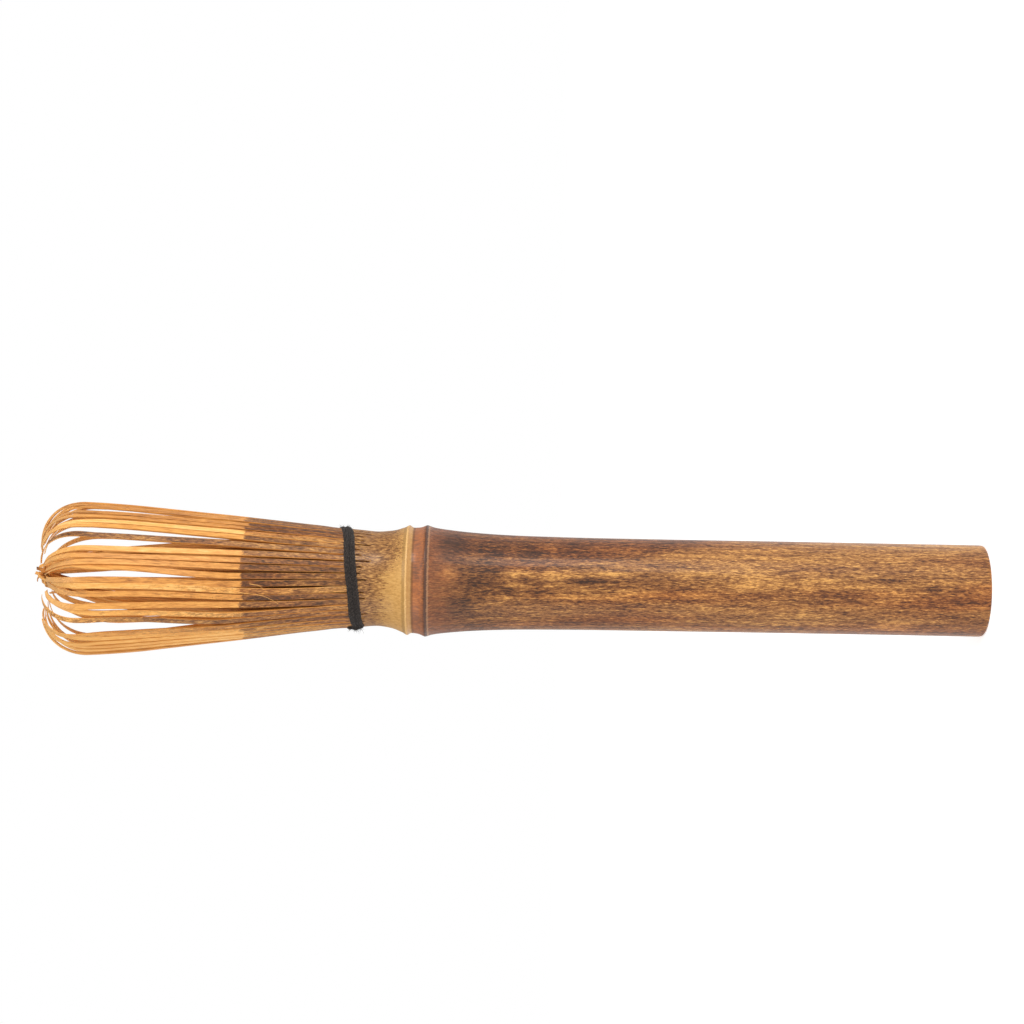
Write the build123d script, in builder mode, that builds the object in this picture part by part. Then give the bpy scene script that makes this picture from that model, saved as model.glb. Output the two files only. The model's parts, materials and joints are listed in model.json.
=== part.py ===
"""Bamboo tea whisk: a hollow culm handle, two groups of split tines and the thread that binds them.

Millimetres. +Z runs along the whisk, from the sawn butt end at Z = 0 to the tips of the tines.
The origin is the centre of the butt face, so the whisk stands on its handle.
"""

import math
import os

from build123d import *

# Handle: one internode, a straight tube that swells towards the node.
handle_radius = 10.05
bore_radius = 7.0
bore_depth = 118.0
straight_end = 85.0
swell_radius, swell_height = 10.42, 106.0
butt_round = 0.5

# Node: a wide nodal ridge, a groove, and the narrower scar that the leaf sheath left.
shoulder_radius, shoulder_height = 11.65, 120.3
ridge_radius, ridge_height = 12.2, 122.3
groove_radius, groove_height = 11.55, 124.6
scar_radius, scar_height = 12.0, 126.1
node_top_radius, node_top_height = 11.4, 127.6
diaphragm_thickness = 4.0

# Neck: it narrows above the node, and its rim is split into the roots of the tines.
neck_radius, neck_height = 10.55, 132.6
seat_radius, seat_bottom = 10.6, 136.8
collar_top = 141.4
collar_hollow_radius = 8.4
hollow_round = 2.0
split_count = 16
split_width = 0.2
split_length = 4.4
split_bottom = 131.0

# Thread: two turns that lie a little aslant round the collar.
thread_radius = 0.5
thread_path_radius = 11.25
thread_pitch = 1.1
thread_turns = 1.97
thread_middle = 138.9
thread_tilt = 4.2
knot_radius = 1.25
knot_angle = 196.0
knot_drop = -0.8
knot_gap = 0.1
knot_path_radius = 12.3

# Outer tines: three to a split. They flare to the belly and curl over towards the axis.
root_height = 141.8
outer_root = 11.1
outer_middle, middle_height = 14.35, 168.5
belly_radius, belly_height = 16.9, 196.0
outer_tip, tip_height = 7.0, 207.8
root_thickness, middle_thickness, belly_thickness, tip_thickness = 1.0, 0.7, 0.5, 0.3
outer_tine_width = 1.15
outer_tine_pitch = 1.27
outer_tines_per_split = 3

# Inner tines: four to a group. They lean in and gather round the axis below the outer tips.
inner_groups = 8
inner_root = 9.35
inner_bend, bend_height = 7.1, 190.0
inner_tip, inner_tip_height = 3.0, 205.6
inner_root_thickness, inner_bend_thickness = 0.65, 0.5
inner_tine_width = 0.95
inner_tine_pitch = 1.1
inner_tines_per_group = 4

# Where tines of one split are still undivided, and where their sides start to draw together.
undivided_height = 1.6
taper_bottom = 186.0
outer_taper_apex = 3.7
inner_taper_apex = 1.6


def radial_plane(angle):
    """A plane through the axis: its x runs outwards at the angle, and its y runs up."""
    outward = (math.cos(math.radians(angle)), math.sin(math.radians(angle)), 0)
    across = (outward[1], -outward[0], 0)
    return Plane(origin=(0, 0, 0), x_dir=outward, z_dir=across)


def level_plane(angle, height):
    """A level plane at a height: its x runs outwards at the angle."""
    outward = (math.cos(math.radians(angle)), math.sin(math.radians(angle)), 0)
    return Plane(origin=(0, 0, height), x_dir=outward, z_dir=(0, 0, 1))


def outer_outline():
    """Side view of an outer tine: a flare from the root, then the curl to the tip."""
    outside = ThreePointArc(
        (outer_root, root_height), (outer_middle, middle_height), (belly_radius, belly_height)
    )
    crown = TangentArc(outside @ 1, (outer_tip, tip_height), tangent=outside % 1)
    inside = ThreePointArc(
        (outer_root - root_thickness, root_height),
        (outer_middle - middle_thickness, middle_height),
        (belly_radius - belly_thickness, belly_height),
    )
    hollow = TangentArc(inside @ 1, (outer_tip, tip_height - tip_thickness), tangent=inside % 1)
    Line(crown @ 1, hollow @ 1)
    Line(outside @ 0, inside @ 0)


def inner_outline():
    """Side view of an inner tine: it leans in, then bends further to the tip."""
    outside = Line((inner_root, root_height), (inner_bend, bend_height))
    crown = TangentArc(outside @ 1, (inner_tip, inner_tip_height), tangent=outside % 1)
    inside = Line(
        (inner_root - inner_root_thickness, root_height),
        (inner_bend - inner_bend_thickness, bend_height),
    )
    hollow = TangentArc(
        inside @ 1, (inner_tip, inner_tip_height - tip_thickness), tangent=inside % 1
    )
    Line(crown @ 1, hollow @ 1)
    Line(outside @ 0, inside @ 0)


def root_outline(root, thickness):
    """Side view of the short undivided root that a group's tines grow from."""
    with Locations((root - thickness / 2, root_height + undivided_height / 2)):
        Rectangle(thickness, undivided_height)


def side_cutters(apex, sector, half_width):
    """Plan view of what is trimmed off both sides, so that neighbours never meet at the tips."""
    slope = math.tan(math.radians(sector / 2))
    full_width_at = apex + half_width / slope
    for side in (1, -1):
        Polygon(
            (full_width_at, side * half_width),
            (apex, 0),
            (apex, side * 2 * half_width),
            (full_width_at, side * 2 * half_width),
            align=None,
        )


def tine_offsets(count, pitch):
    """Distances of a group's tines from the middle of the group."""
    return [(number - (count - 1) / 2) * pitch for number in range(count)]


# The culm: handle, node, neck and the split collar, all one piece of bamboo.
with BuildPart() as culm_handle:
    with BuildSketch(Plane.XZ):
        with BuildLine():
            butt_edge = CenterArc(
                (handle_radius - butt_round, butt_round), butt_round, -90, 90
            )
            straight = Line(butt_edge @ 1, (handle_radius, straight_end))
            swell = Spline(
                straight @ 1,
                (swell_radius, swell_height),
                (shoulder_radius, shoulder_height),
                tangents=[(0, 1), (0.25, 1)],
            )
            ridge = ThreePointArc(
                swell @ 1, (ridge_radius, ridge_height), (groove_radius, groove_height)
            )
            scar = ThreePointArc(
                ridge @ 1, (scar_radius, scar_height), (node_top_radius, node_top_height)
            )
            neck = ThreePointArc(
                scar @ 1, (neck_radius, neck_height), (seat_radius, seat_bottom)
            )
            seat = Line(neck @ 1, (seat_radius, collar_top))
            rim = Line(seat @ 1, (collar_hollow_radius, collar_top))
            floor_height = bore_depth + diaphragm_thickness
            wall = Line(rim @ 1, (collar_hollow_radius, floor_height + hollow_round))
            corner = CenterArc(
                (collar_hollow_radius - hollow_round, floor_height + hollow_round),
                hollow_round,
                0,
                -90,
            )
            diaphragm = Line(corner @ 1, (0, floor_height))
            middle = Line(diaphragm @ 1, (0, bore_depth))
            bore_end = Line(middle @ 1, (bore_radius, bore_depth))
            bore = Line(bore_end @ 1, (bore_radius, 0))
            Line(bore @ 1, butt_edge @ 0)
        make_face()
    revolve(axis=Axis.Z)
    with BuildSketch(Plane.XY.offset(split_bottom)):
        with PolarLocations((collar_hollow_radius + seat_radius) / 2, split_count):
            Rectangle(split_length, split_width)
    extrude(amount=collar_top - split_bottom + 1, mode=Mode.SUBTRACT)
culm_handle.part.label = "culm_handle"

# The thread: a helix of two turns, leaning a little to one side.
thread_length = thread_pitch * thread_turns
thread_plane = Plane(origin=(0, 0, thread_middle)).rotated((0, -thread_tilt, knot_angle))
helix = Helix(thread_pitch, thread_length, thread_path_radius)
tilted_helix = thread_plane.offset(-thread_length / 2).from_local_coords(helix)
with BuildPart() as binding_thread:
    with BuildLine() as thread_path:
        add(tilted_helix)
    with BuildSketch(Plane(origin=thread_path.line @ 0, z_dir=thread_path.line % 0)):
        Circle(thread_radius)
    sweep(is_frenet=True)
binding_thread.part.label = "binding_thread"

# The knot: a small lump of thread that lies on the outside of the turns.
knot_plane = level_plane(knot_angle, thread_middle + knot_drop)
with BuildPart() as thread_knot:
    with BuildSketch(knot_plane):
        with Locations((knot_path_radius, 0)):
            Ellipse(knot_radius * 0.75, knot_radius)
    extrude(amount=knot_radius * 0.8, both=True)
    with BuildSketch(knot_plane.offset(-2 * knot_radius)):
        Circle(thread_path_radius + thread_radius + knot_gap)
    extrude(amount=4 * knot_radius, mode=Mode.SUBTRACT)
    fillet(thread_knot.edges(), radius=0.25)
thread_knot.part.label = "thread_knot"

os.makedirs("parts", exist_ok=True)
export_step(culm_handle.part, "parts/culm_handle.step")
export_step(binding_thread.part, "parts/binding_thread.step")
export_step(thread_knot.part, "parts/thread_knot.step")

# The outer tines: one node for each of the sixteen splits.
outer_sector = 360 / split_count
outer_offsets = tine_offsets(outer_tines_per_split, outer_tine_pitch)
outer_half_width = outer_offsets[-1] + outer_tine_width / 2
for number in range(split_count):
    angle = (number + 0.5) * outer_sector
    with BuildPart() as outer_tines:
        with BuildSketch(radial_plane(angle)):
            root_outline(outer_root, root_thickness)
        extrude(amount=outer_half_width, both=True)
        for tine_offset in outer_offsets:
            with BuildSketch(radial_plane(angle).offset(tine_offset)):
                with BuildLine():
                    outer_outline()
                make_face()
            extrude(amount=outer_tine_width / 2, both=True)
        with BuildSketch(level_plane(angle, taper_bottom)):
            side_cutters(outer_taper_apex, outer_sector, outer_half_width)
        extrude(amount=tip_height - taper_bottom + 1, mode=Mode.SUBTRACT)
    name = f"outer_tines_{number + 1:02d}"
    outer_tines.part.label = name
    export_step(outer_tines.part, f"parts/{name}.step")

# The inner tines: one node for each of the eight groups.
inner_sector = 360 / inner_groups
inner_offsets = tine_offsets(inner_tines_per_group, inner_tine_pitch)
inner_half_width = inner_offsets[-1] + inner_tine_width / 2
for number in range(inner_groups):
    angle = (number + 0.5) * inner_sector
    with BuildPart() as inner_tines:
        with BuildSketch(radial_plane(angle)):
            root_outline(inner_root, inner_root_thickness)
        extrude(amount=inner_half_width, both=True)
        for tine_offset in inner_offsets:
            with BuildSketch(radial_plane(angle).offset(tine_offset)):
                with BuildLine():
                    inner_outline()
                make_face()
            extrude(amount=inner_tine_width / 2, both=True)
        with BuildSketch(level_plane(angle, taper_bottom)):
            side_cutters(inner_taper_apex, inner_sector, inner_half_width)
        extrude(amount=tip_height - taper_bottom + 1, mode=Mode.SUBTRACT)
    name = f"inner_tines_{number + 1:02d}"
    inner_tines.part.label = name
    export_step(inner_tines.part, f"parts/{name}.step")
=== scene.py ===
"""Looks of the bamboo tea whisk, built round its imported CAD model.

Shapes are worked out in millimetres in the model's own frame, with +Z from the butt to the tips of
the tines, and become metres where a mesh is made. Angles round the whisk are in degrees from +X.
The camera looks along +Y with +X upwards in the picture, so that the whisk lies across it.
"""

import json
import math

import bpy
import numpy as np
from mathutils import Matrix, Vector


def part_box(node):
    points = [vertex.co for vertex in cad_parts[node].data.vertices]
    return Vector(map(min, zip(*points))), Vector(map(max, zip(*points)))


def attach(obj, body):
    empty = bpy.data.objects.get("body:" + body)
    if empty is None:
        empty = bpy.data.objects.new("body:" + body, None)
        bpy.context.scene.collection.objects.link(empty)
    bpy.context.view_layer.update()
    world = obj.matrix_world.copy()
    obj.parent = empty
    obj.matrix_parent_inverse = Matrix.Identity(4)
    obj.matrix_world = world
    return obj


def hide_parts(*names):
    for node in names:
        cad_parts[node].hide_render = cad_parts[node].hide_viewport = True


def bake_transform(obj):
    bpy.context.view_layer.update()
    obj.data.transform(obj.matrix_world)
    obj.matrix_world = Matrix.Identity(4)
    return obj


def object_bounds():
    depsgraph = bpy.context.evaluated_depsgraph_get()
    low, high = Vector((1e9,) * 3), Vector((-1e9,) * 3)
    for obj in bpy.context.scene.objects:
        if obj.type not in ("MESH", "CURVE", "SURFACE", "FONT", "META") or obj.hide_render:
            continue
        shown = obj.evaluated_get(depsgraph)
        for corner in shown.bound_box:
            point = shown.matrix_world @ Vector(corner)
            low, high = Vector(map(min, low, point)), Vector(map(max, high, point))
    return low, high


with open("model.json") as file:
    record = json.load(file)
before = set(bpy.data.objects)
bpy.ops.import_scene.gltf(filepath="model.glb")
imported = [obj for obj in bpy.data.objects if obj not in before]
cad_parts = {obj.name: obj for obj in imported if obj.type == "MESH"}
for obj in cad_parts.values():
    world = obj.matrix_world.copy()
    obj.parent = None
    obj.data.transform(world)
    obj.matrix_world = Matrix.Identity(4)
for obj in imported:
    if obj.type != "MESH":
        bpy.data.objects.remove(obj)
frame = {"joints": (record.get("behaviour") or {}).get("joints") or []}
cad_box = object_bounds()
MM = 0.001

# ---------------------------------------------------------------- sizes

tip_height = cad_box[1].z / MM
collar_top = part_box("culm_handle")[1].z / MM
hinges = {joint["child"]: joint for joint in frame["joints"]}
root_height = hinges["outer_tines_01"]["pos_m"][2] / MM

SPLITS = 16
TINES_PER_SPLIT = 3
INNER_GROUPS = 8
TINES_PER_GROUP = 4
SLAT_ANGLE = 360 / (SPLITS * TINES_PER_SPLIT)
INNER_ANGLE = 360 / (INNER_GROUPS * TINES_PER_GROUP)

# Which stream of random numbers each kind of work draws from, and how far a jitter may go.
OUTER_STREAM, INNER_STREAM, PATCH_STREAM, SLIT_STREAM, FUZZ_STREAM = 1, 2, 3, 4, 5
JITTER_LIMIT = 1.7

bore_radius = 7.0
bore_depth = 118.0
diaphragm_top = 122.0
cavity_radius = 8.4

# Height and radius of the culm's outside, from the butt to the thread. The node has a wide ridge, a
# groove and the sharp scar of the leaf sheath.
CULM_KNOTS = [
    (0.0, 9.68), (0.12, 9.86), (0.36, 9.99), (0.9, 10.05), (30, 10.02), (60, 10.03), (85, 10.07),
    (99.4, 10.22), (106, 10.42), (112.6, 10.8), (117, 11.22), (119.4, 11.52), (120.8, 11.78),
    (121.7, 12.08), (122.25, 12.22), (122.75, 12.05), (123.4, 11.78), (124.2, 11.62),
    (125.0, 11.56), (125.55, 11.66), (125.9, 11.95), (126.15, 12.04), (126.5, 11.93),
    (127.0, 11.62), (127.8, 11.32), (128.9, 10.92), (130.5, 10.6), (132.9, 10.38), (136.4, 10.66),
    (139.8, 10.95),
]
# Height and radius of the outside of an outer tine, from below the thread to the belly.
TINE_KNOTS = [
    (136.4, 10.66), (139, 10.9), (142, 11.08), (145.6, 11.55), (148.9, 11.9), (155.5, 12.7),
    (165.4, 13.9), (172, 14.65), (178.6, 15.45), (187.4, 16.42), (196, 16.95), (204, 17.05),
]
# Height and radius of the middle of an inner tine before it closes on the axis.
INNER_KNOTS = [(136, 9.3), (142, 9.1), (150, 8.7), (165, 7.9), (180, 7.0), (196, 5.9)]

# How far the whole whisk's middle lies towards -X at each height: the head isn't quite straight.
LEAN_KNOTS = [
    (122, 0), (127, -0.12), (132.4, -0.3), (142, -0.26), (150, -0.14), (159, 0.06), (168, 0.28),
    (177, 0.54), (186, 0.78), (195, 0.88), (208, 0.9),
]


def smooth_curve(x, knots):
    """Cubic curve through (x, y) knots that doesn't overshoot between them."""
    knot_x, knot_y = np.array(knots, float).T
    step = np.diff(knot_x)
    slope = np.diff(knot_y) / step
    tangent = np.zeros(len(knot_x))
    rising = slope[1:] * slope[:-1] > 0
    mean = 2 * slope[1:] * slope[:-1] / np.where(rising, slope[1:] + slope[:-1], 1)
    tangent[1:-1] = np.where(rising, mean, 0)
    tangent[0], tangent[-1] = slope[0], slope[-1]
    x = np.clip(x, knot_x[0], knot_x[-1])
    at = np.clip(np.searchsorted(knot_x, x, side="right") - 1, 0, len(step) - 1)
    t = (x - knot_x[at]) / step[at]
    return (
        (1 + 2 * t) * (1 - t) ** 2 * knot_y[at]
        + t * (1 - t) ** 2 * step[at] * tangent[at]
        + t * t * (3 - 2 * t) * knot_y[at + 1]
        + t * t * (t - 1) * step[at] * tangent[at + 1]
    )


def smoothstep(x, low, high):
    """0 below low, 1 above high, and smooth between them."""
    t = np.clip((x - low) / (high - low), 0, 1)
    return t * t * (3 - 2 * t)


def within_half_turn(angle):
    """The same angle, from -180 to 180 degrees."""
    return (angle + 180) % 360 - 180


def chance(*seeds):
    """Random numbers for one piece of work alone, so that none disturbs another."""
    return np.random.default_rng(seeds)


def jitters(stream, angle, count):
    """How far off the usual the tine rooted at an angle is in each way, never extremely."""
    drawn = chance(stream, int(angle * 100)).normal(0, 1, count)
    return np.clip(drawn, -JITTER_LIMIT, JITTER_LIMIT)


def leaned(points):
    """The head leans a little to one side of the handle, from the node up."""
    points = np.array(points, float)
    points[..., 0] -= smooth_curve(points[..., 2], LEAN_KNOTS)
    return points


# ---------------------------------------------------------------- meshes

def mesh_object(name, points, faces, materials, face_material=None, sharp=40):
    """A mesh object from points in millimetres, smooth but for edges sharper than an angle."""
    mesh = bpy.data.meshes.new(name)
    mesh.from_pydata((np.asarray(points) * MM).tolist(), [], faces)
    for material in materials:
        mesh.materials.append(material)
    if face_material is not None:
        mesh.polygons.foreach_set("material_index", np.asarray(face_material, np.int32))
    mesh.polygons.foreach_set("use_smooth", np.ones(len(mesh.polygons), bool))
    mesh.set_sharp_from_angle(angle=math.radians(sharp))
    mesh.update()
    piece = bpy.data.objects.new(name, mesh)
    bpy.context.collection.objects.link(piece)
    return piece


def give_values(piece, name, values):
    """Stores one number for each point of a mesh, for its material to read."""
    attribute = piece.data.attributes.new(name, "FLOAT", "POINT")
    attribute.data.foreach_set("value", np.asarray(values, np.float32))


def closed_faces(rows, columns):
    """Quads between rows of points that each close on themselves, and then the two end faces."""
    faces = []
    for row in range(rows - 1):
        for column in range(columns):
            along = (column + 1) % columns
            low, high = row * columns, (row + 1) * columns
            faces.append((low + column, low + along, high + along, high + column))
    faces.append(tuple(reversed(range(columns))))
    faces.append(tuple(range((rows - 1) * columns, rows * columns)))
    return faces


def unit(vectors):
    """Vectors scaled to length 1."""
    return vectors / np.linalg.norm(vectors, axis=-1, keepdims=True)


# Corners of a strip's section, and how much of the outward skin and of the painted shade on the
# back each has.
STRIP_CORNERS = 8
SKIN_SHARES = np.array([1, 1, 0.15, 0, 0, 0, 0, 0.15])
PAINTED_SHADE_SHARES = np.array([0, 0, 0, 1, 1, 1, 1, 0])


def strip(line, side, width, thickness, twist):
    """Points and faces of a long thin strip with chamfered edges; its first faces look outwards.

    line is its middle, side points across it, and width, thickness and twist are given at each
    point.
    """
    forward = unit(np.gradient(line, axis=0))
    side = unit(side - (side * forward).sum(1, keepdims=True) * forward)
    outward = np.cross(side, forward)
    twist = twist[:, None]
    across = side * np.cos(twist) + outward * np.sin(twist)
    out = outward * np.cos(twist) - side * np.sin(twist)
    half_width, half_thick = width / 2, thickness / 2
    chamfer = 0.22 * np.minimum(half_width, half_thick)
    corners = [
        (chamfer - half_width, half_thick), (half_width - chamfer, half_thick),
        (half_width, half_thick - chamfer), (half_width, chamfer - half_thick),
        (half_width - chamfer, -half_thick), (chamfer - half_width, -half_thick),
        (-half_width, chamfer - half_thick), (-half_width, half_thick - chamfer),
    ]
    points = np.stack(
        [line + across * s[:, None] + out * n[:, None] for s, n in corners], axis=1
    )
    return points.reshape(-1, 3), closed_faces(len(line), STRIP_CORNERS)


def round_tube(line, radius, sides=7):
    """Points and faces of a round tube with closed ends, with a radius at each point of a line."""
    forward = unit(np.gradient(line, axis=0))
    start = Vector(forward[0]).orthogonal().normalized()
    across = np.zeros_like(line)
    across[0] = start
    for at in range(1, len(line)):
        turned = across[at - 1] - np.dot(across[at - 1], forward[at]) * forward[at]
        across[at] = turned / np.linalg.norm(turned)
    beside = np.cross(forward, across)
    angle = np.arange(sides) / sides * math.tau
    points = line[:, None] + radius[:, None, None] * (
        across[:, None] * np.cos(angle)[:, None] + beside[:, None] * np.sin(angle)[:, None]
    )
    return points.reshape(-1, 3), closed_faces(len(line), sides)


def joined(parts):
    """Several sets of points and faces as one."""
    points, faces, first = [], [], 0
    for part_points, part_faces in parts:
        points.append(part_points)
        faces += [tuple(first + corner for corner in face) for face in part_faces]
        first += len(part_points)
    return np.concatenate(points), faces


# ---------------------------------------------------------------- materials

def srgb(red, green, blue):
    """A colour given as 0 to 255 on a screen, in the linear values that a shader takes."""
    values = np.array([red, green, blue]) / 255
    linear = np.where(values <= 0.04045, values / 12.92, ((values + 0.055) / 1.055) ** 2.4)
    return (*linear.tolist(), 1.0)


class Graph:
    """A material's nodes, each made and linked in one call."""

    def __init__(self, name):
        self.material = bpy.data.materials.new(name)
        self.material.use_nodes = True
        self.tree = self.material.node_tree
        self.tree.nodes.clear()
        self.place = self.node("TexCoord").outputs["Object"]

    def node(self, kind, inputs=None, **settings):
        made = self.tree.nodes.new("ShaderNode" + kind)
        for key, value in settings.items():
            setattr(made, key, value)
        for key, value in (inputs or {}).items():
            if isinstance(value, bpy.types.NodeSocket):
                self.tree.links.new(value, made.inputs[key])
            else:
                made.inputs[key].default_value = value
        return made

    def maths(self, operation, first, second):
        return self.node("Math", {0: first, 1: second}, operation=operation).outputs[0]

    def stretched(self, scale):
        """Places scaled along each axis, in features to the millimetre."""
        vector = tuple(value / MM for value in scale)
        made = self.node("VectorMath", {0: self.place, 1: vector}, operation="MULTIPLY")
        return made.outputs[0]

    def noise(self, scale, detail=3.0, rough=0.55, distortion=0.0):
        inputs = {
            "Vector": self.stretched(scale), "Scale": 1.0, "Detail": detail,
            "Roughness": rough, "Distortion": distortion,
        }
        return self.node("TexNoise", inputs).outputs["Fac"]

    def ramp(self, value, stops):
        """A colour or, where the stops hold numbers, a grey for each value."""
        made = self.node("ValToRGB", {"Fac": value})
        elements = made.color_ramp.elements
        while len(elements) < len(stops):
            elements.new(1.0)
        for element, (position, colour) in zip(elements, stops):
            element.position = position
            is_grey = isinstance(colour, (int, float))
            element.color = (colour, colour, colour, 1.0) if is_grey else colour
        return made.outputs["Color"]

    def mix(self, factor, first, second, blend="MIX"):
        inputs = {0: factor, 6: first, 7: second}
        return self.node("Mix", inputs, data_type="RGBA", blend_type=blend).outputs[2]

    def weigh(self, parts, base):
        """Half plus a base and how far each part is from half, times its weight."""
        total = base
        for value, weight in parts:
            centred = self.maths("SUBTRACT", value, 0.5)
            total = self.node(
                "Math", {0: centred, 1: weight, 2: total}, operation="MULTIPLY_ADD"
            ).outputs[0]
        return self.maths("ADD", total, 0.5)

    def height_range(self, low, high, wobble=None, reach=0.0, moved=None):
        """0 to 1 as the height goes from low to high, in millimetres, made uneven by a noise.

        moved is a number, in millimetres, that raises the range where it is larger than 0.
        """
        height = self.node("SeparateXYZ", {0: self.place}).outputs["Z"]
        if wobble is not None:
            shift = self.maths("MULTIPLY", self.maths("SUBTRACT", wobble, 0.5), reach * MM)
            height = self.maths("ADD", height, shift)
        if moved is not None:
            height = self.maths("SUBTRACT", height, self.maths("MULTIPLY", moved, MM))
        inputs = {"Value": height, "From Min": low * MM, "From Max": high * MM}
        return self.node("MapRange", inputs, clamp=True).outputs["Result"]

    def number(self, name):
        """A number stored on the mesh."""
        return self.node("Attribute", attribute_name=name).outputs["Fac"]

    def bump(self, height, strength, distance):
        inputs = {"Height": height, "Strength": strength, "Distance": distance * MM}
        return self.node("Bump", inputs).outputs["Normal"]

    def finish(self, **inputs):
        """The surface shader, with its inputs named in words joined by underscores."""
        named = {key.replace("_", " "): value for key, value in inputs.items()}
        shader = self.node("BsdfPrincipled", named)
        output = self.node("OutputMaterial")
        self.tree.links.new(shader.outputs[0], output.inputs["Surface"])
        return self.material


def smoked_skin(graph, shift, fine, contrast):
    """Colour, flecks and fibres of smoked skin: jagged flecks along the grain over stains.

    shift makes it all lighter, fine makes the features smaller, and contrast is that of the flecks.
    """
    broad = graph.noise((0.13, 0.13, 0.016), detail=2)
    stain = graph.noise((0.6 * fine, 0.6 * fine, 0.085), detail=3, rough=0.6, distortion=0.3)
    fleck_scale = (2.4 * fine, 2.4 * fine, 0.44 * fine)
    fleck = graph.noise(fleck_scale, detail=4, rough=0.68, distortion=0.45)
    fibre = graph.noise((6.5, 6.5, 0.7 * fine), detail=2, rough=0.6)
    tone = graph.weigh([(broad, 0.6), (stain, 0.75), (fleck, contrast), (fibre, 0.6)], shift)
    colour = graph.ramp(tone, [
        (0.14, srgb(52, 29, 15)), (0.30, srgb(94, 53, 25)), (0.45, srgb(128, 79, 38)),
        (0.57, srgb(152, 99, 50)), (0.70, srgb(180, 124, 63)), (0.86, srgb(222, 160, 84)),
    ])
    hue = graph.ramp(broad, [
        (0.36, (1.05, 0.9, 0.78, 1)), (0.5, (1.0, 1.0, 1.0, 1)), (0.66, (0.98, 1.02, 1.04, 1)),
    ])
    return graph.mix(1.0, colour, hue, "MULTIPLY"), fleck, fibre


def culm_skin():
    """The brown skin of the whole culm, with its node and the paler neck above it."""
    graph = Graph("culm_skin")
    shift = graph.maths("SUBTRACT", graph.number("patch"), 0.02)
    colour, fleck, fibre = smoked_skin(graph, shift, fine=1.6, contrast=1.7)
    fine = graph.noise((3.2, 3.2, 0.30), detail=3, rough=0.7)
    stained = graph.noise((0.22, 0.22, 0.22), detail=3, rough=0.6)
    speck = graph.noise((4.4, 4.4, 0.9), detail=3, rough=0.65)

    near_node = graph.height_range(112, 120.5, fleck, 14)
    patched = graph.maths("ADD", fine, graph.number("patch"))
    russet = graph.ramp(patched, [
        (0.22, srgb(76, 48, 32)), (0.42, srgb(124, 70, 40)),
        (0.62, srgb(160, 94, 50)), (0.8, srgb(206, 132, 68)),
    ])
    colour = graph.mix(graph.maths("MULTIPLY", near_node, 0.75), colour, russet)

    gold = graph.ramp(fine, [
        (0.25, srgb(172, 124, 62)), (0.5, srgb(202, 152, 84)), (0.75, srgb(218, 172, 102)),
    ])
    colour = graph.mix(graph.height_range(124.9, 125.3), colour, gold)
    speckled = graph.weigh([(fleck, 0.8), (speck, 1.0), (fibre, 0.5)], 0.0)
    mottle = graph.ramp(speckled, [
        (0.30, srgb(72, 43, 22)), (0.44, srgb(124, 80, 42)), (0.56, srgb(162, 114, 62)),
        (0.7, srgb(204, 152, 86)),
    ])
    edge = graph.height_range(126.9, 127.9, fleck, 16, graph.number("gold"))
    colour = graph.mix(edge, colour, mottle)
    seam = graph.height_range(128.6, 130.4, speck, 8)
    colour = graph.mix(graph.maths("MULTIPLY", seam, 0.12), colour, srgb(120, 78, 40))

    above_ridge, below_scar = graph.height_range(122.4, 122.9), graph.height_range(125.2, 124.8)
    band = graph.maths("MULTIPLY", above_ridge, below_scar)
    red = graph.ramp(graph.weigh([(fine, 1.0), (stained, 0.9)], 0.0), [
        (0.22, srgb(110, 76, 58)), (0.42, srgb(150, 94, 62)),
        (0.6, srgb(178, 108, 62)), (0.8, srgb(196, 134, 84)),
    ])
    colour = graph.mix(band, colour, red)
    # Fine lines round the node: lower and upper height, strength and colour.
    line_edge = 0.15
    for low, high, strength, line_colour in (
        (121.85, 122.3, 0.85, srgb(76, 50, 38)),
        (121.5, 121.7, 0.32, srgb(196, 156, 116)),
        (124.75, 125.15, 0.6, srgb(112, 74, 40)),
        (125.2, 126.1, 0.45, srgb(160, 112, 62)),
        (126.25, 126.4, 0.6, srgb(238, 194, 130)),
        (126.6, 127.1, 0.45, srgb(146, 112, 58)),
    ):
        line = graph.maths(
            "MULTIPLY",
            graph.height_range(low - line_edge, low, speck, 0.6),
            graph.height_range(high + line_edge, high, speck, 0.6),
        )
        colour = graph.mix(graph.maths("MULTIPLY", line, strength), colour, line_colour)

    surface = graph.weigh([(fleck, 1.0), (fibre, 0.7)], 0.0)
    return graph.finish(
        Base_Color=colour,
        Roughness=graph.ramp(fleck, [(0.3, 0.58), (0.7, 0.42)]),
        Normal=graph.bump(surface, 0.25, 0.08),
        Specular_IOR_Level=0.25,
        Coat_Weight=0.22,
        Coat_Roughness=0.22,
    )


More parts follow.
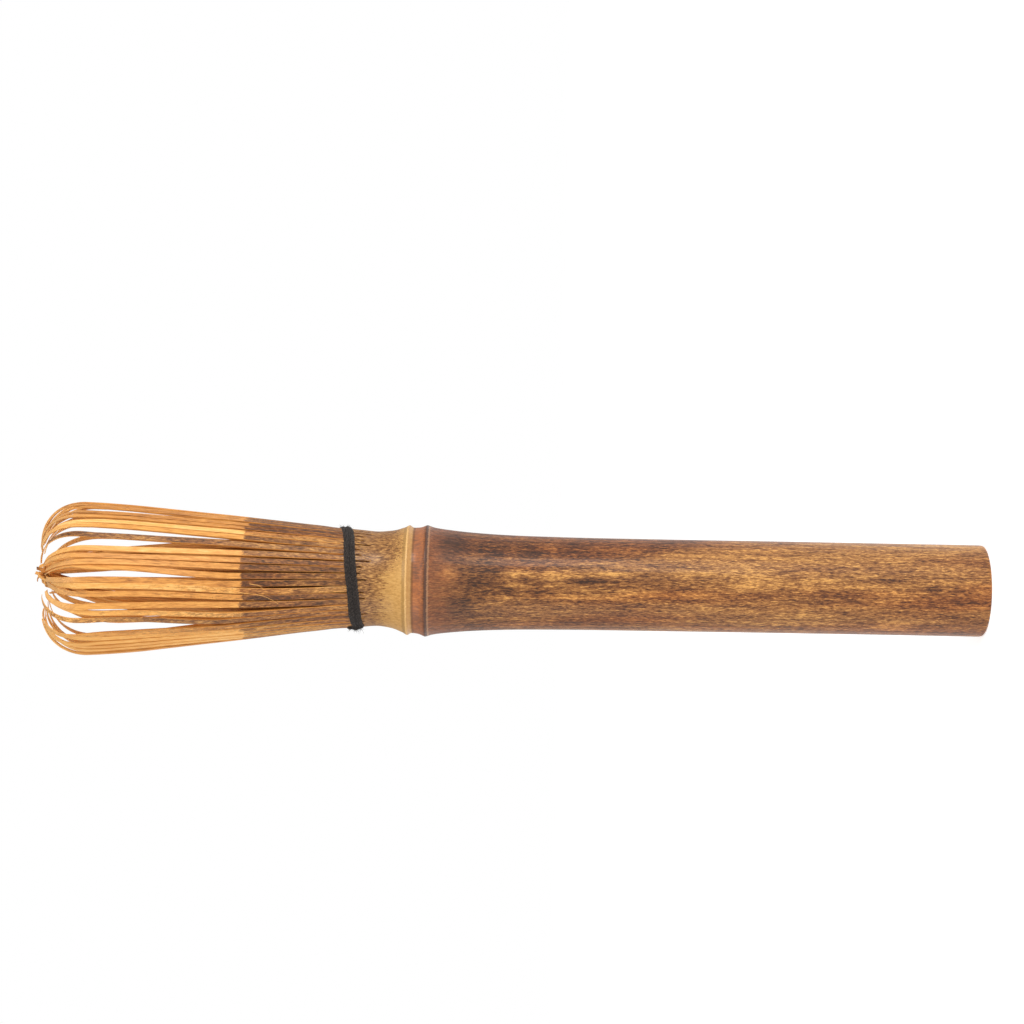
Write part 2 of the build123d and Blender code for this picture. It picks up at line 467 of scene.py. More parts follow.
def tine_bamboo():
    """Split and shaved bamboo with fine fibres, and what is left of the skin on its outside."""
    graph = Graph("tine_bamboo")
    # The number tint holds each tine's own tone, with painted shade taken off it on the backs and
    # at the roots.
    tint = graph.number("tint")
    fibre = graph.noise((3.6, 3.6, 0.10), detail=4, rough=0.65)
    cloud = graph.noise((0.3, 0.3, 0.05), detail=2)
    tone = graph.weigh([(fibre, 0.9), (tint, 0.5), (cloud, 0.4)], 0.0)
    colour = graph.ramp(tone, [
        (0.0, srgb(52, 30, 16)), (0.16, srgb(136, 82, 38)), (0.36, srgb(206, 138, 66)),
        (0.56, srgb(233, 168, 86)), (0.8, srgb(247, 198, 124)),
    ])
    paler = graph.maths("MULTIPLY", graph.number("thin"), 0.5)
    colour = graph.mix(paler, colour, srgb(253, 206, 132))
    shift = graph.weigh([(tint, 0.45)], -0.48)
    skin, fleck, fine = smoked_skin(graph, shift, fine=1.45, contrast=1.75)
    dull = graph.ramp(fine, [(0.35, srgb(86, 62, 44)), (0.65, srgb(158, 120, 80))])
    skin = graph.mix(0.12, skin, dull)
    cover = graph.maths("ADD", graph.number("skin"), graph.weigh([(fleck, 1.6), (fine, 0.6)], -0.5))
    cover = graph.node("MapRange", {"Value": cover, "From Min": 0.42, "From Max": 0.56}).outputs[0]
    colour = graph.mix(cover, colour, skin)
    return graph.finish(
        Base_Color=colour,
        Roughness=graph.ramp(fibre, [(0.3, 0.56), (0.7, 0.42)]),
        Normal=graph.bump(fibre, 0.3, 0.07),
        Specular_IOR_Level=0.35,
    )


def culm_inside():
    """Raw bamboo inside the hollows."""
    graph = Graph("culm_inside")
    fibre = graph.noise((1.8, 1.8, 0.08), detail=4, rough=0.6)
    colour = graph.ramp(fibre, [(0.3, srgb(172, 132, 84)), (0.7, srgb(214, 178, 124))])
    return graph.finish(
        Base_Color=colour,
        Roughness=graph.ramp(fibre, [(0.3, 0.8), (0.7, 0.65)]),
        Normal=graph.bump(fibre, 0.4, 0.1),
    )


def end_grain():
    """Sawn end of the culm: dark bundles of fibre in pale pith, finer towards the skin."""
    graph = Graph("end_grain")
    cells = graph.node("TexVoronoi", {"Vector": graph.stretched((2.4, 2.4, 0.1)), "Scale": 1.0})
    dots = graph.ramp(cells.outputs["Distance"], [(0.16, 0.35), (0.34, 1.0)])
    pith = graph.noise((1.2, 1.2, 0.4), detail=3)
    colour = graph.ramp(pith, [(0.3, srgb(196, 156, 104)), (0.7, srgb(226, 192, 138))])
    colour = graph.mix(1.0, colour, dots, "MULTIPLY")
    return graph.finish(
        Base_Color=colour,
        Roughness=graph.ramp(pith, [(0.3, 0.85), (0.7, 0.7)]),
        Normal=graph.bump(dots, 0.4, 0.1),
    )


def cotton():
    """Near-black cotton yarn."""
    graph = Graph("thread_cotton")
    fluff = graph.noise((9.0, 9.0, 9.0), detail=3, rough=0.7)
    colour = graph.ramp(fluff, [
        (0.34, srgb(17, 14, 13)), (0.52, srgb(36, 31, 28)), (0.68, srgb(98, 85, 77)),
    ])
    return graph.finish(
        Base_Color=colour,
        Roughness=graph.ramp(fluff, [(0.3, 0.98), (0.7, 0.85)]),
        Normal=graph.bump(fluff, 0.6, 0.12),
        Specular_IOR_Level=0.2,
        Sheen_Weight=0.08,
        Sheen_Roughness=0.6,
    )


skin_material = culm_skin()
tine_material = tine_bamboo()
inside_material = culm_inside()
grain_material = end_grain()
cotton_material = cotton()

# ---------------------------------------------------------------- camera

# How far the camera stands from the whisk's axis, how wide its view is there, and its small roll.
view_distance = 458.0
view_width = 225.3
camera_roll = math.radians(1.05)
camera_place = Vector((15.5, -view_distance, 103.7))

camera_data = bpy.data.cameras.new("camera")
camera_data.sensor_width = 36.0
camera_data.lens = camera_data.sensor_width * view_distance / view_width
camera = bpy.data.objects.new("camera", camera_data)
bpy.context.collection.objects.link(camera)
right = Vector((math.sin(camera_roll), 0, -math.cos(camera_roll)))
up = Vector((math.cos(camera_roll), 0, math.sin(camera_roll)))
back = right.cross(up)
camera.matrix_world = Matrix((
    (right.x, up.x, back.x, camera_place.x * MM),
    (right.y, up.y, back.y, camera_place.y * MM),
    (right.z, up.z, back.z, camera_place.z * MM),
    (0, 0, 0, 1),
))
camera_data.clip_start, camera_data.clip_end = 0.01, 50.0
bpy.context.scene.camera = camera

# ---------------------------------------------------------------- culm

# Lighter and darker patches on the side of the handle that faces the camera: height, degrees below
# the line of sight, half length, half width in degrees, and how much lighter.
PATCHES = [
    (102, -14, 2.8, 6, 0.17), (94, -12, 4.2, 6, 0.15), (105, -32, 2.5, 3, 0.09),
    (117.3, -10, 1.8, 8, 0.13), (109, -1, 4.4, 16, -0.12), (104, 8, 1.5, 4, -0.14),
    (101, -6, 2.1, 4, -0.14), (98, 2, 1.4, 14, -0.09), (86, -5, 4.6, 5, -0.13),
    (70, -6, 9, 7, -0.10), (89, 15, 10, 4, 0.17), (76, 8, 5.6, 6, 0.15), (64, 9, 4.6, 5, 0.12),
    (81, -15, 3.2, 3, 0.12), (116, -48, 3.2, 22, -0.12), (112.5, 20, 2.4, 26, -0.07),
    (108, -40, 3.7, 17, -0.10), (99, -45, 3.3, 14, -0.10), (90, -55, 3.6, 9, -0.10),
    (69, -62, 5, 9, -0.10), (115, 29, 2.8, 15, -0.08), (53, -2, 2.6, 5, 0.12),
    (43, -12, 1.1, 4, -0.14), (22, -13, 5.2, 5, -0.10), (13, -3, 3.2, 4, -0.10),
    (22, 10, 5.6, 8, 0.10), (2, -2, 3.4, 10, 0.08), (21, 50, 5, 10, 0.14),
]
BACK_PATCHES = 40
PATCH_STRENGTH = 1.6

# The slits above the neck: the heights they start between, how much lower the slits between splits
# start, how deep they are, how far they take to reach that depth, and half their width in degrees.
slit_bottoms = (134.4, 136.4)
split_drop = 1.0
slit_depth = 0.75
slit_run_out = 1.3
slit_half_width = 0.6

thread_radius = 10.74
thread_pitch = 1.16
thread_turns = 2
thread_height = 139.0
# How much higher the thread lies per millimetre towards +X and towards +Y.
thread_slope = (0.10, 0.075)
knot_angle = 196.0


def down_angle(angle):
    """An angle round the whisk, as degrees below the line of sight, from -180 to 180."""
    return within_half_turn(-90 - angle)


def under_thread(angle):
    """Height of the middle of the thread at an angle: it leans to one side."""
    turn = np.radians(angle)
    lean = thread_slope[0] * np.cos(turn) + thread_slope[1] * np.sin(turn)
    return thread_height + thread_radius * lean


def patch_tone(height, angle):
    """How much lighter or darker than usual the skin is at each place."""
    tone = 0.03 - 0.06 * smoothstep(height, 60, 82) - 0.06 * smoothstep(height, 100, 108)
    down = down_angle(angle)
    patches = list(PATCHES)
    random = chance(PATCH_STREAM)
    for _ in range(BACK_PATCHES):
        place = (random.uniform(0, 116), random.uniform(95, 265))
        size = (random.uniform(1.5, 8), random.uniform(4, 12))
        patches.append((*place, *size, random.choice([-1, 1]) * random.uniform(0.07, 0.16)))
    for middle, middle_down, half_length, half_width, lighter in patches:
        aside = within_half_turn(down - middle_down)
        far = ((height - middle) / half_length) ** 2 + (aside / half_width) ** 2
        tone = tone + PATCH_STRENGTH * lighter * np.exp(-(far**1.6))
    return tone


def culm_radius(height, angle, slit_starts):
    """Radius of the culm's outside at each height and angle, with its slits above the neck."""
    radians = np.radians(angle)
    near_node = np.exp(-(((height - 124.5) / 3.2) ** 2))
    waver = 0.09 * np.sin(radians + 0.6) + 0.06 * np.sin(3 * radians + 2)
    waver = waver + 0.04 * np.sin(7 * radians)
    radius = smooth_curve(height + near_node * waver, CULM_KNOTS)
    swell = 0.05 * np.sin(radians * 2 + height * 0.021)
    swell = swell + 0.025 * np.sin(radians * 5 + height * 0.05)
    rib = 0.012 * np.sin(radians * 37 + 2 * np.sin(height * 0.07))
    radius = radius + (swell + rib) * smoothstep(height, 0, 6) * (1 - smoothstep(height, 126, 131))
    from_slit = np.abs((angle + SLAT_ANGLE / 2) % SLAT_ANGLE - SLAT_ANGLE / 2)
    slit = np.rint(angle / SLAT_ANGLE).astype(int) % len(slit_starts)
    depth = slit_depth * smoothstep(height, slit_starts[slit], slit_starts[slit] + slit_run_out)
    return radius - depth * (from_slit < slit_half_width)


def make_culm():
    """The culm as one closed surface: bore, butt, outside, split rim and the upper hollow."""
    # Degrees from a slit to the columns of points of one slat, closer together beside the slit.
    slat_columns = np.array([0, 0.5, 1.0, 2.6, 3.75, 4.9, 6.5, 7.0])
    slats = SPLITS * TINES_PER_SPLIT
    angles = (np.arange(slats)[:, None] * SLAT_ANGLE + slat_columns).ravel()
    columns = len(angles)
    slit_starts = chance(SLIT_STREAM).uniform(*slit_bottoms, slats)
    slit_starts[::TINES_PER_SPLIT] -= split_drop

    # From here up, the rows of points are stretched to end under the leaning thread.
    split_from = 133.2
    outer_heights = np.concatenate([
        [0.0, 0.12, 0.36, 0.6, 1.2], np.arange(2, 119, 1.0),
        np.arange(119, 121, 0.3), np.arange(121, 127.4, 0.13), np.arange(127.4, 130, 0.4),
        np.arange(130, split_from, 0.8), np.arange(split_from, collar_top - 2.2, 0.28),
    ])
    height, angle = np.meshgrid(outer_heights, angles, indexing="ij")
    rim = under_thread(angle)
    stretch = (rim - split_from) / (outer_heights[-1] - split_from)
    height = np.where(height > split_from, split_from + (height - split_from) * stretch, height)
    outer_radius = culm_radius(height, angle, slit_starts)

    butt_rings = [(bore_radius - 0.02, 0.35), (bore_radius + 0.25, 0.02), (8.3, 0.0), (9.2, 0.0)]
    bore_rings = [
        (0.02, bore_depth + 0.9), (3.5, bore_depth + 0.7), (6.0, bore_depth),
        (bore_radius, bore_depth - 1.4),
    ]
    bore_rings += [(bore_radius, z) for z in (90.0, 60.0, 30.0, 8.0, 2.0)]
    top = rim[0]
    cavity_rings = [
        (9.6, top), (cavity_radius + 0.3, top), (cavity_radius, top - 0.5), (cavity_radius, 132.0),
        (cavity_radius, 125.5), (7.6, 123.2), (6.0, 122.3), (3.0, diaphragm_top),
        (0.02, diaphragm_top),
    ]

    # Each row's kind is the place of its material in the culm's list: skin, inside or end grain.
    rows_radius, rows_height, rows_kind = [], [], []
    for kind, rings in ((1, bore_rings), (2, butt_rings)):
        for ring_radius, ring_height in rings:
            rows_radius.append(np.full(columns, ring_radius))
            rows_height.append(np.broadcast_to(ring_height, columns))
            rows_kind.append(kind)
    rows_radius += list(outer_radius)
    rows_height += list(height)
    rows_kind += [0] * len(outer_heights)
    for ring_radius, ring_height in cavity_rings:
        rows_radius.append(np.full(columns, ring_radius))
        rows_height.append(np.broadcast_to(ring_height, columns))
        rows_kind.append(1)
    radius, rise = np.array(rows_radius), np.array(rows_height)
    turn = np.radians(np.broadcast_to(angles, radius.shape))
    points = np.stack([radius * np.cos(turn), radius * np.sin(turn), rise], axis=-1)
    faces = closed_faces(len(radius), columns)
    kinds = []
    for row in range(len(radius) - 1):
        kinds += [max(rows_kind[row], rows_kind[row + 1])] * columns
    kinds += [1, 1]
    piece = mesh_object(
        "culm", leaned(points.reshape(-1, 3)), faces,
        [skin_material, inside_material, grain_material], kinds, sharp=50,
    )
    give_values(piece, "patch", patch_tone(rise, np.degrees(turn)).ravel())
    gold = 3.9 * smoothstep(down_angle(np.degrees(turn)), -36, 2)
    give_values(piece, "gold", gold.ravel())
    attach(piece, "handle")
    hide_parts("culm_handle")


make_culm()

# ---------------------------------------------------------------- tines

# Where the near tines end up at the belly, in degrees below the line of sight to the axis, from the
# top of the view down. Neighbours that lie close make the clumps, and the far tines mirror them.
BELLY_ANGLES = [
    -82, -76, -70, -61, -56.5, -50.5, -45.5, -35.5, -24, -18, -13.4, -8.7,
    0.6, 5.2, 11.6, 21.5, 27.4, 33, 47, 52, 57.5, 63, 69.5, 77,
]
# The same for the inner tines: they leave the clear gap just above the axis open.
INNER_BELLY_ANGLES = [-80, -73, -66, -59, -51, -43, -30, -23, 10, 20, 32, 42, 50, 58, 66, 77]
# The tables below count the near tines from 0, from the top of the view down.
# How much of the brown skin is left on the outside of some tines.
SKIN_LEFT = {7: 1.0, 10: 0.12, 13: 0.42, 14: 0.34, 16: 0.5, 17: 0.9, 18: 0.52, 19: 0.4, 21: 0.2}
# The height at which tines start to gather in clumps, where it is later than gather_from.
LATE_GATHER = {10: 152, 11: 162, 12: 162, 13: 150, 14: 150, 16: 158, 17: 164, 18: 164, 19: 156}
# Pairs that are still one wide strand above the thread, and the degrees each leans to the other.
PAIRED = {13: 0.9, 14: -0.9, 16: 0.8, 17: -0.8, 18: -0.5, 19: -0.2}
# Tines that are turned to show a shaded flank, in degrees.
TWISTED = {
    2: -12, 4: -14, 6: -10, 9: -16, 10: -12, 11: -32, 12: -8, 14: -18, 15: -14, 16: -12, 17: -10,
}
# Loose fibres: the tine each is torn from, the heights it runs between, and how far it ends aside.
LOOSE_FIBRES = [
    (13, 163, 153.5, -2.6), (12, 159.5, 156.5, -1.2), (12, 170, 165.5, 0.7), (14, 176, 172.5, 0.6),
]
# Width or thickness of a tine, at shares of its length.
OUTER_WIDTH_AT = [0, 0.08, 0.5, 0.79, 0.92, 1]
OUTER_ROOT_WIDTHS = [1.2, 1.24, 1.26, 1.22]
OUTER_THICKNESS = ([0, 0.3, 0.36, 0.75, 0.9, 1], [1.1, 0.8, 0.62, 0.42, 0.24, 0.1])
INNER_WIDTH = ([0, 0.1, 0.5, 0.8, 0.93, 1], [1.1, 1.1, 1.1, 1.05, 0.85, 0.66])
INNER_THICKNESS = ([0, 0.3, 0.75, 0.9, 1], [0.8, 0.6, 0.4, 0.3, 0.22])

belly_radius = 16.9
# The heights between which outer tines gather in clumps, and inner ones do.
gather_from, gather_to = 143, 188
inner_gather_from, inner_gather_to = 146, 186
# The height above which the brown skin is shaved off.
shaved_from = 161.5
# How an outer tine curls: its lean at the belly, and the degrees that it usually, at least and at
# most turns through.
belly_heading = 0.05
usual_curl, least_curl, most_curl = 86, 70, 104
curl_steps = 26
# How far the inner tines' roots are turned, in degrees, to stand behind the outer tines' gaps.
inner_turn = 4.0
# The height from which inner tines are drawn in to where they meet.
drawn_in_from = 188


def seen_down(down, near):
    """Where a tine on the near or far side lies, when it looks to be at an angle down the view."""
    seen_up = -belly_radius * math.sin(math.radians(down))
    depth = belly_radius * math.cos(math.radians(down)) * (1 if near else -1)
    camera_up = camera_place.x + LEAN_KNOTS[-1][1]
    up = camera_up + (seen_up - camera_up) * (view_distance - depth) / view_distance
    really = -math.degrees(math.asin(max(-1, min(1, up / belly_radius))))
    return really if near else 180 - really


def belly_angle(root_angle, targets):
    """Where a tine rooted at an angle goes at the belly, from the targets of the near side."""
    down = down_angle(root_angle)
    near = abs(down) < 90
    mirrored = down if near else within_half_turn(180 - down)
    place = int((mirrored + 90) // (180 / len(targets)))
    target = seen_down(targets[place], near)
    return root_angle - within_half_turn(target - down), place, near


def tine_frame(radius, angle, height):
    """Points at a radius, angle and height, and the direction across a tine at each."""
    turn = np.radians(angle)
    line = np.stack([radius * np.cos(turn), radius * np.sin(turn), height], axis=1)
    side = np.stack([-np.sin(turn), np.cos(turn), np.zeros_like(turn)], axis=1)
    return line, side


def length_along(line):
    """How far along its line each point is."""
    return np.append([0], np.cumsum(np.linalg.norm(np.diff(line, axis=0), axis=1)))


def tip_share(along, tip_from):
    """0 up to the share of the length where the tip begins, and 1 at its end."""
    return np.clip((along - tip_from) / (1 - tip_from), 0, 1)


def curl(heading, bend_radii, total_turn, steps):
    """A curl towards the axis from 0, 0, as radii and heights, with a bend that changes."""
    turn = np.linspace(0, total_turn, steps + 1)
    middle = (turn[1:] + turn[:-1]) / 2
    bend = np.interp(middle / total_turn, np.linspace(0, 1, len(bend_radii)), bend_radii)
    length = bend * np.diff(turn)
    outward = np.cumsum(np.sin(heading - middle) * length)
    upward = np.cumsum(np.cos(heading - middle) * length)
    return outward, upward


def outer_tine(root_angle):
    """Points, faces and numbers for one outer tine, and the line of its outside."""
    target, place, near = belly_angle(root_angle, BELLY_ANGLES)
    (
        crown_off, bend_off, flare_off, curl_off, corner_off, swing_off, drift_off, wave_off,
        twist_off, tip_twist_off, skin_off, tint_off, lean_off, width_off,
    ) = jitters(OUTER_STREAM, root_angle, 14)
    toward_top, toward_camera = math.cos(math.radians(target)), -math.sin(math.radians(target))
    crown = tip_height - 1.1 + 0.25 * toward_top - 0.3 * abs(crown_off)
    crown += -1.5 * toward_camera if toward_camera > 0 else -0.3 * toward_camera
    corner = 9.0 - 0.2 * toward_top + 0.8 * corner_off
    bends = [11, corner, corner, 12 + 2.5 * toward_top + 0.8 * bend_off]
    curled = np.clip(usual_curl + 8 * curl_off, least_curl, most_curl)
    total_turn = math.radians(curled) + belly_heading
    curl_radius, curl_height = curl(belly_heading, bends, total_turn, curl_steps)
    curl_start = crown - curl_height.max()
    start = under_thread(root_angle) - 0.3
    skin_end = shaved_from + 0.4 * skin_off
    heights = np.concatenate([
        np.linspace(start, 159, 13), [skin_end - 0.7, skin_end + 0.7],
        np.linspace(165, curl_start, 14),
    ])
    radius = smooth_curve(heights, TINE_KNOTS)
    radius = radius + (0.1 * flare_off - 0.06) * smoothstep(heights, 146, 190)
    radius = np.append(radius, radius[-1] + curl_radius)
    height = np.append(heights, heights[-1] + curl_height)
    gather = smoothstep(height, LATE_GATHER.get(place, gather_from), gather_to)
    paired = PAIRED.get(place, 0) if near else 0
    root_lean = 0.3 * lean_off - paired * smoothstep(height, 139, 148)
    angle = root_angle + root_lean + (target - root_angle - root_lean) * gather
    angle = angle + (0 if near else 0.4 * swing_off) * gather
    line, side = tine_frame(radius, angle, height)
    along = length_along(line)
    along = along / along[-1]
    near_tip = tip_share(along, 0.76)
    drift = 1.5 * drift_off * near_tip**2 + 0.4 * wave_off * np.sin(near_tip * math.pi)
    line = line + side * drift[:, None]
    # Tips that face the camera are drawn across to a row of places inside the cage.
    facing = smoothstep(toward_camera, 0.78, 1.0)
    pulled = (0.85 * near_tip**2.2 * facing)[:, None]
    pulled_to = np.array([0.3 + 6.5 * toward_top + 0.3 * corner_off, -2.6])
    line[:, :2] = line[:, :2] * (1 - pulled) + pulled_to * pulled
    tip_widths = [0.92 + 0.1 * facing, 0.4 + 0.22 * facing]
    width = np.interp(along, OUTER_WIDTH_AT, OUTER_ROOT_WIDTHS + tip_widths)
    width = width * (1 + 0.06 * width_off)
    thickness = np.interp(along, *OUTER_THICKNESS)
    turned = TWISTED.get(place, 0) if near else 0
    twist = np.radians((turned + 5 * twist_off) * gather + 26 * tip_twist_off * near_tip**1.5)
    outward = side[:, [1, 0, 2]] * np.array([1, -1, 0])
    middle = line - outward * (thickness / 2)[:, None]
    points, faces = strip(middle, side, width, thickness, twist)
    left = SKIN_LEFT.get(place, 0) if near else 0.5 * (tint_off > 1.3)
    left = left * (1 - (0.15 if left == 1 else 0.5) * smoothstep(height, 165, 204))
    skin = np.where(height < skin_end, 1.0, left)[:, None] * SKIN_SHARES
    tint = np.clip(0.5 + 0.19 * tint_off, 0.1, 0.9) - 0.1 * near_tip**4
    # Painted shade: the backs of the outer tines are darker down towards the thread, where the cage
    # is in shade.
    painted_shade = 1.1 * (1 - smoothstep(height, 146, 172))[:, None] * PAINTED_SHADE_SHARES
    tints_with_painted_shade = tint[:, None] - painted_shade
    thin = np.repeat(near_tip, STRIP_CORNERS)
    values = np.stack([tints_with_painted_shade.ravel(), thin, skin.ravel()], axis=1)
    return points, faces, values, line


def hooked(line, side, bend, turn, aside):
    """A tine's line and sides, with a last small hook that bends back across the axis."""
    steps = 8
    forward = unit(line[-1] - line[-2])
    inward = -line[-1] * np.array([1, 1, 0]) + aside * side[-1]
    inward = unit(inward - np.dot(inward, forward) * forward)
    theta = np.linspace(0, turn, steps + 1)[1:, None]
    hook = line[-1] + bend * (np.sin(theta) * forward + (1 - np.cos(theta)) * inward)
    across = np.cross(forward, inward)
    across = across if np.dot(across, side[-1]) > 0 else -across
    share = np.linspace(0, 1, steps)[:, None]
    turned = unit(side[-1] * (1 - share) + across * share)
    return np.concatenate([line, hook]), np.concatenate([side, turned])


def inner_tine(root_angle):
    """Points, faces and numbers for one inner tine, and the line of its middle."""
    target = belly_angle(root_angle, INNER_BELLY_ANGLES)[0]
    (
        draw_off, lean_off, across_off, depth_off, hook_off, swing_off, tip_off, twist_off,
        tip_twist_off, tint_off, hook_turn_off, aside_off, end_off,
    ) = jitters(INNER_STREAM, root_angle, 13)
    toward_camera = -math.sin(math.radians(target))
    hook = 1.15 + 0.45 * abs(hook_off)
    tip = tip_height - 0.3 - hook - 1.5 * abs(tip_off) - 0.2 * toward_camera
    heights = np.concatenate([np.linspace(root_height - 3.6, 170, 12), np.linspace(174, tip, 24)])
    radius = smooth_curve(heights, INNER_KNOTS) + 0.3 * lean_off * smoothstep(heights, 146, 180)
    gather = smoothstep(heights, inner_gather_from, inner_gather_to)
    start_angle = root_angle + inner_turn
    angle = start_angle + (target - start_angle + 1.2 * swing_off) * gather
    line, side = tine_frame(radius, angle, heights)
    # Tines above and below the gap on the axis meet on their own side of it, so that it stays open.
    kept_side = 1.5 if math.cos(math.radians(target)) > 0.0 else -1.1
    meeting = np.array([0.9 + kept_side + 1.0 * across_off, 1.4 * depth_off - 1.5])
    rise, whole_rise = heights - drawn_in_from - draw_off, tip - drawn_in_from - draw_off
    drawn_in = np.clip(rise / whole_rise, 0, 1)[:, None] ** 1.9
    line[:, :2] = line[:, :2] * (1 - drawn_in) + meeting * drawn_in
    line, side = hooked(line, side, hook, math.radians(95 + 30 * hook_turn_off), aside_off * 1.6)
    along = length_along(line)
    along = along / along[-1]
    near_tip = tip_share(along, 0.74)
    width = np.interp(along, *INNER_WIDTH)
    thickness = np.interp(along, *INNER_THICKNESS)
    above_root = smoothstep(line[:, 2], inner_gather_from, inner_gather_to)
    twist = np.radians(8 * twist_off * above_root + 26 * tip_twist_off * near_tip)
    points, faces = strip(line, side, width, thickness, twist)
    # Painted shade: the inner tines are darker down towards their roots inside the cage.
    painted_shade = 0.9 * (1 - smoothstep(line[:, 2], 146, 174))
    tint = np.clip(0.5 + 0.2 * tint_off, 0.15, 0.85) - painted_shade
    tint = tint - (0.7 * (end_off > 0.2) + 0.05) * near_tip**14
    tints_with_painted_shade = np.repeat(tint, STRIP_CORNERS)
    values = np.stack([tints_with_painted_shade, np.zeros(len(tints_with_painted_shade)), np.zeros(len(tints_with_painted_shade))], axis=1)
    return points, faces, values, line


def loose_fibre(line, from_height, to_height, aside):
    """A hair torn up from a tine's outside, as a thin tube."""
    t = np.linspace(0, 1, 12)
    height = from_height + (to_height - from_height) * t
    x, y = (np.interp(height, line[:, 2], line[:, axis]) for axis in (0, 1))
    out = unit(np.stack([x, y, np.zeros_like(x)], axis=1))
    side = out[:, [1, 0, 2]] * np.array([-1, 1, 0])
    lift = 0.02 + 0.5 * np.sin(t * math.pi * 0.7)
    wave = aside * (t**2.2 + 0.1 * np.sin(t * math.pi * 2))
    hair = np.stack([x, y, height], axis=1) + out * lift[:, None] + side * wave[:, None]
    return round_tube(hair, np.linspace(0.075, 0.03, 12), sides=5)


def make_tines(node, angles, make_tine):
    """One group of tines, as one piece in place of the group's part from the model."""
    parts, values = [], []
    for angle in angles:
        points, faces, tine_values, line = make_tine(angle)
        parts.append((points, faces))
        values.append(tine_values)
        place, near = belly_angle(angle, BELLY_ANGLES)[1:]
        for fibre_place, from_height, to_height, aside in LOOSE_FIBRES:
            if near and make_tine is outer_tine and place == fibre_place:
                parts.append(loose_fibre(line, from_height, to_height, aside))
                values.append(np.tile([0.6, 0.3, 0.0], (len(parts[-1][0]), 1)))
    points, faces = joined(parts)
    values = np.concatenate(values)
    name = node.replace("tines", "tine_group")
    piece = mesh_object(name, leaned(points), faces, [tine_material], sharp=35)
    for number, value_name in enumerate(("tint", "thin", "skin")):
        give_values(piece, value_name, values[:, number])
    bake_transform(piece)
    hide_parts(node)


for split in range(SPLITS):
    first = split * TINES_PER_SPLIT
    angles = [(first + number + 0.5) * SLAT_ANGLE for number in range(TINES_PER_SPLIT)]
    make_tines(f"outer_tines_{split + 1:02d}", angles, outer_tine)

for group in range(INNER_GROUPS):
    first = group * TINES_PER_GROUP
    angles = [(first + number + 0.5) * INNER_ANGLE for number in range(TINES_PER_GROUP)]
    make_tines(f"inner_tines_{group + 1:02d}", angles, inner_tine)

# ---------------------------------------------------------------- thread

def thread_line(turn):
    """The thread's middle after a number of turns from the knot."""
    angle = math.radians(knot_angle) + turn * math.tau
    radius = thread_radius + 0.05 * np.sin(turn * 31) + 0.03 * np.sin(turn * 47)
    x, y = radius * np.cos(angle), radius * np.sin(angle)
    height = thread_height + thread_slope[0] * x + thread_slope[1] * y
    height = height + thread_pitch * (turn - thread_turns / 2)
    bow = 0.2 * np.sin(3 * angle + 0.5) + 0.14 * np.sin(5 * angle + 1)
    height = height + bow + 0.05 * np.sin(turn * 19) + 0.04 * np.sin(turn * 43)
    return np.stack([x, y, height], axis=-1)


def yarn(line, ply_radius=0.36, ply_offset=0.38, lay=2.6, plies=4, flat=0.6):
    """Plies twisted round a line, pressed towards the axis to a share of their depth by flat.

    lay is the length in which they make one turn round the line.
    """
    forward = unit(np.gradient(line, axis=0))
    out = unit(line * np.array([1, 1, 0]))
    out = unit(out - (out * forward).sum(1, keepdims=True) * forward)
    beside = np.cross(forward, out)
    length = length_along(line)
    parts = []
    for ply in range(plies):
        phase = length / lay * math.tau + ply / plies * math.tau
        around = flat * out * np.cos(phase)[:, None] + beside * np.sin(phase)[:, None]
        middle = line + ply_offset * around
        uneven = ply_radius * (1 + 0.13 * np.sin(length * 2.3 + ply) + 0.09 * np.sin(length * 7.7))
        parts.append(round_tube(middle, uneven))
    return parts


def fuzz(line, count, reach, seed):
    """Loose hairs that stand off a line of yarn."""
    hair_root = 0.42
    random = chance(FUZZ_STREAM, seed)
    parts = []
    for at in random.integers(0, len(line), count):
        out = unit(line[at] * np.array([1, 1, 0]) + random.normal(0, 4, 3))
        start = line[at] + out * hair_root
        aside = unit(random.normal(0, 1, 3))
        t = np.linspace(0, 1, 5)[:, None]
        hair = start + out * reach * random.uniform(0.4, 1) * t + aside * reach * 0.8 * t * t
        parts.append(round_tube(hair, np.linspace(0.022, 0.008, 5), sides=3))
    return parts


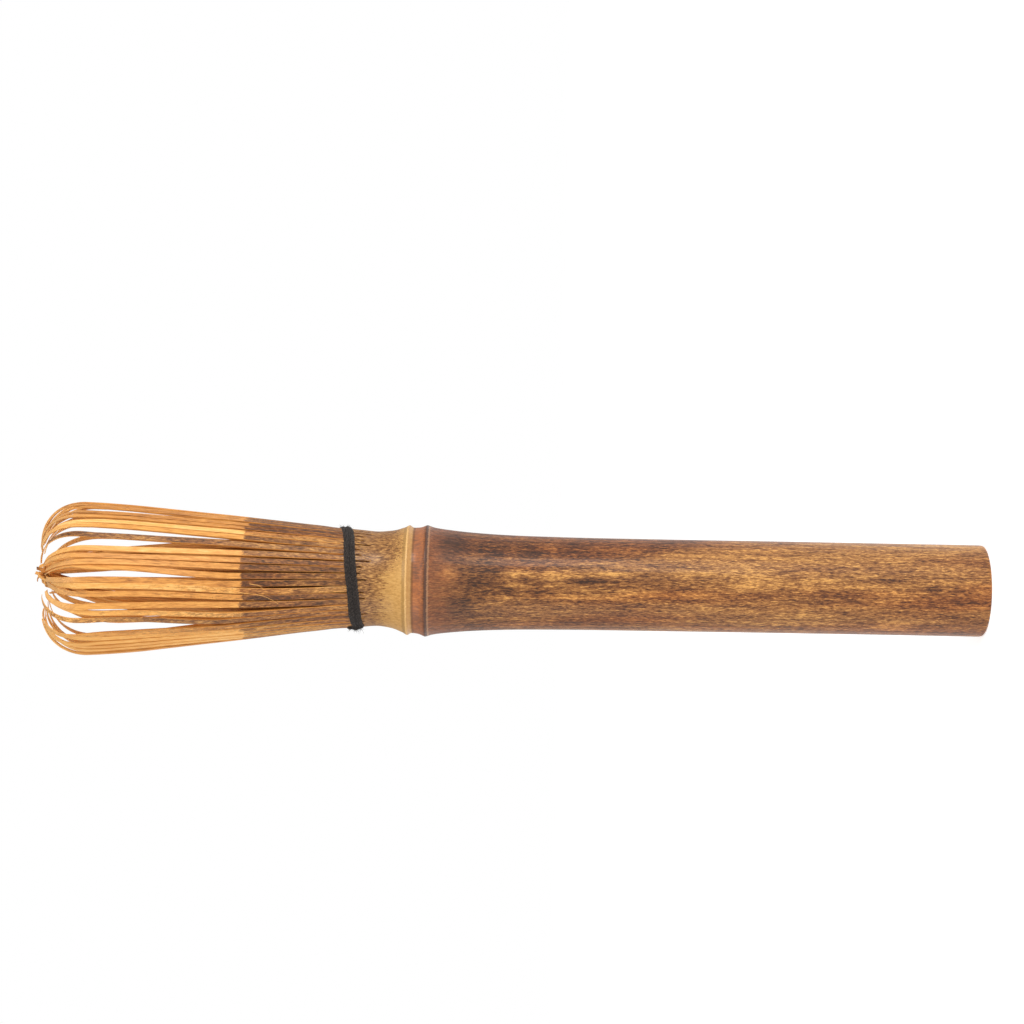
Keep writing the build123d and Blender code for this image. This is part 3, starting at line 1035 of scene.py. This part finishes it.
def make_thread():
    """The two turns of yarn with their fuzz, and the knot with its two short tails."""
    turn = np.linspace(0, thread_turns, 620)
    line = thread_line(turn)
    points, faces = joined(yarn(line) + fuzz(line, 900, 0.55, 0))
    turns = mesh_object("thread_turns", leaned(points), faces, [cotton_material])
    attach(turns, "handle")
    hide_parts("binding_thread")

    middle = thread_line(np.array([1.0]))[0]
    out = unit(middle * np.array([1, 1, 0]))
    beside = np.array([-out[1], out[0], 0])
    above = np.array([0, 0, 1.0])
    t = np.linspace(0, math.tau, 90)[:, None]
    loop = (
        (np.sin(t) + 2 * np.sin(2 * t)) * beside * 0.21
        + (np.cos(t) - 2 * np.cos(2 * t)) * above * 0.2
        - np.sin(3 * t) * out * 0.22
    )
    knot_line = middle + out * 0.3 + loop
    tails = []
    for direction, drop in ((1, -1.5), (-1, -1.1)):
        s = np.linspace(0, 1, 14)[:, None]
        aside = beside * direction * (0.5 + 0.9 * s)
        tails.append(middle + out * (0.3 - 0.25 * s) + aside + above * drop * s**1.3)
    parts = yarn(knot_line, 0.24, 0.17, 1.9, 3, 1.0)
    for number, tail in enumerate(tails):
        parts += yarn(tail, 0.2, 0.15, 1.7, 3, 1.0)
        parts += fuzz(tail[-3:], 12, 0.7, 2 + number)
    parts += fuzz(knot_line, 60, 0.45, 1)
    points, faces = joined(parts)
    knot = mesh_object("thread_tie", leaned(points), faces, [cotton_material])
    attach(knot, "handle")
    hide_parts("thread_knot")


make_thread()

# ---------------------------------------------------------------- floor and light

def make_floor():
    """A pale floor that the whisk stands on, bright enough to run into the white behind it."""
    graph = Graph("floor_white")
    speck = graph.noise((0.02, 0.02, 0.02), detail=2)
    material = graph.finish(
        Base_Color=graph.ramp(speck, [(0.3, 0.9), (0.7, 0.94)]),
        Roughness=0.9,
        Emission_Color=(1, 1, 1, 1),
        Emission_Strength=0.55,
    )
    reach = 4000
    corners = [(-reach, -reach, 0), (reach, -reach, 0), (reach, reach, 0), (-reach, reach, 0)]
    floor = mesh_object("floor", corners, [(0, 1, 2, 3)], [material])


light_aim = Vector((0, 0, 0.12))


def make_light(name, place, size, watts):
    """A square soft light, placed in metres, that faces the middle of the whisk."""
    data = bpy.data.lights.new(name, "AREA")
    data.shape, data.size, data.energy = "SQUARE", size, watts
    light = bpy.data.objects.new(name, data)
    bpy.context.collection.objects.link(light)
    light.location = place
    aim = light_aim - light.location
    light.rotation_euler = aim.to_track_quat("-Z", "Y").to_euler()


make_floor()
make_light("key_light", (1.0, -0.8, 0.15), 0.5, 7.2)
make_light("fill_light", (-1.05, -0.45, 0.3), 0.9, 3.2)
make_light("head_light", (0.3, -0.4, 1.2), 0.6, 4.6)

world = bpy.data.worlds.new("studio")
world.use_nodes = True
tree = world.node_tree
background = tree.nodes["Background"]
background.inputs["Color"].default_value = (1, 1, 1, 1)
# The backdrop is plain white to look at, and gives a softer light.
path = tree.nodes.new("ShaderNodeLightPath")
strength = tree.nodes.new("ShaderNodeMapRange")
strength.inputs["To Min"].default_value = 0.5
strength.inputs["To Max"].default_value = 1.0
tree.links.new(path.outputs["Is Camera Ray"], strength.inputs["Value"])
tree.links.new(strength.outputs["Result"], background.inputs["Strength"])
bpy.context.scene.world = world
bpy.context.scene.view_settings.view_transform = "Standard"
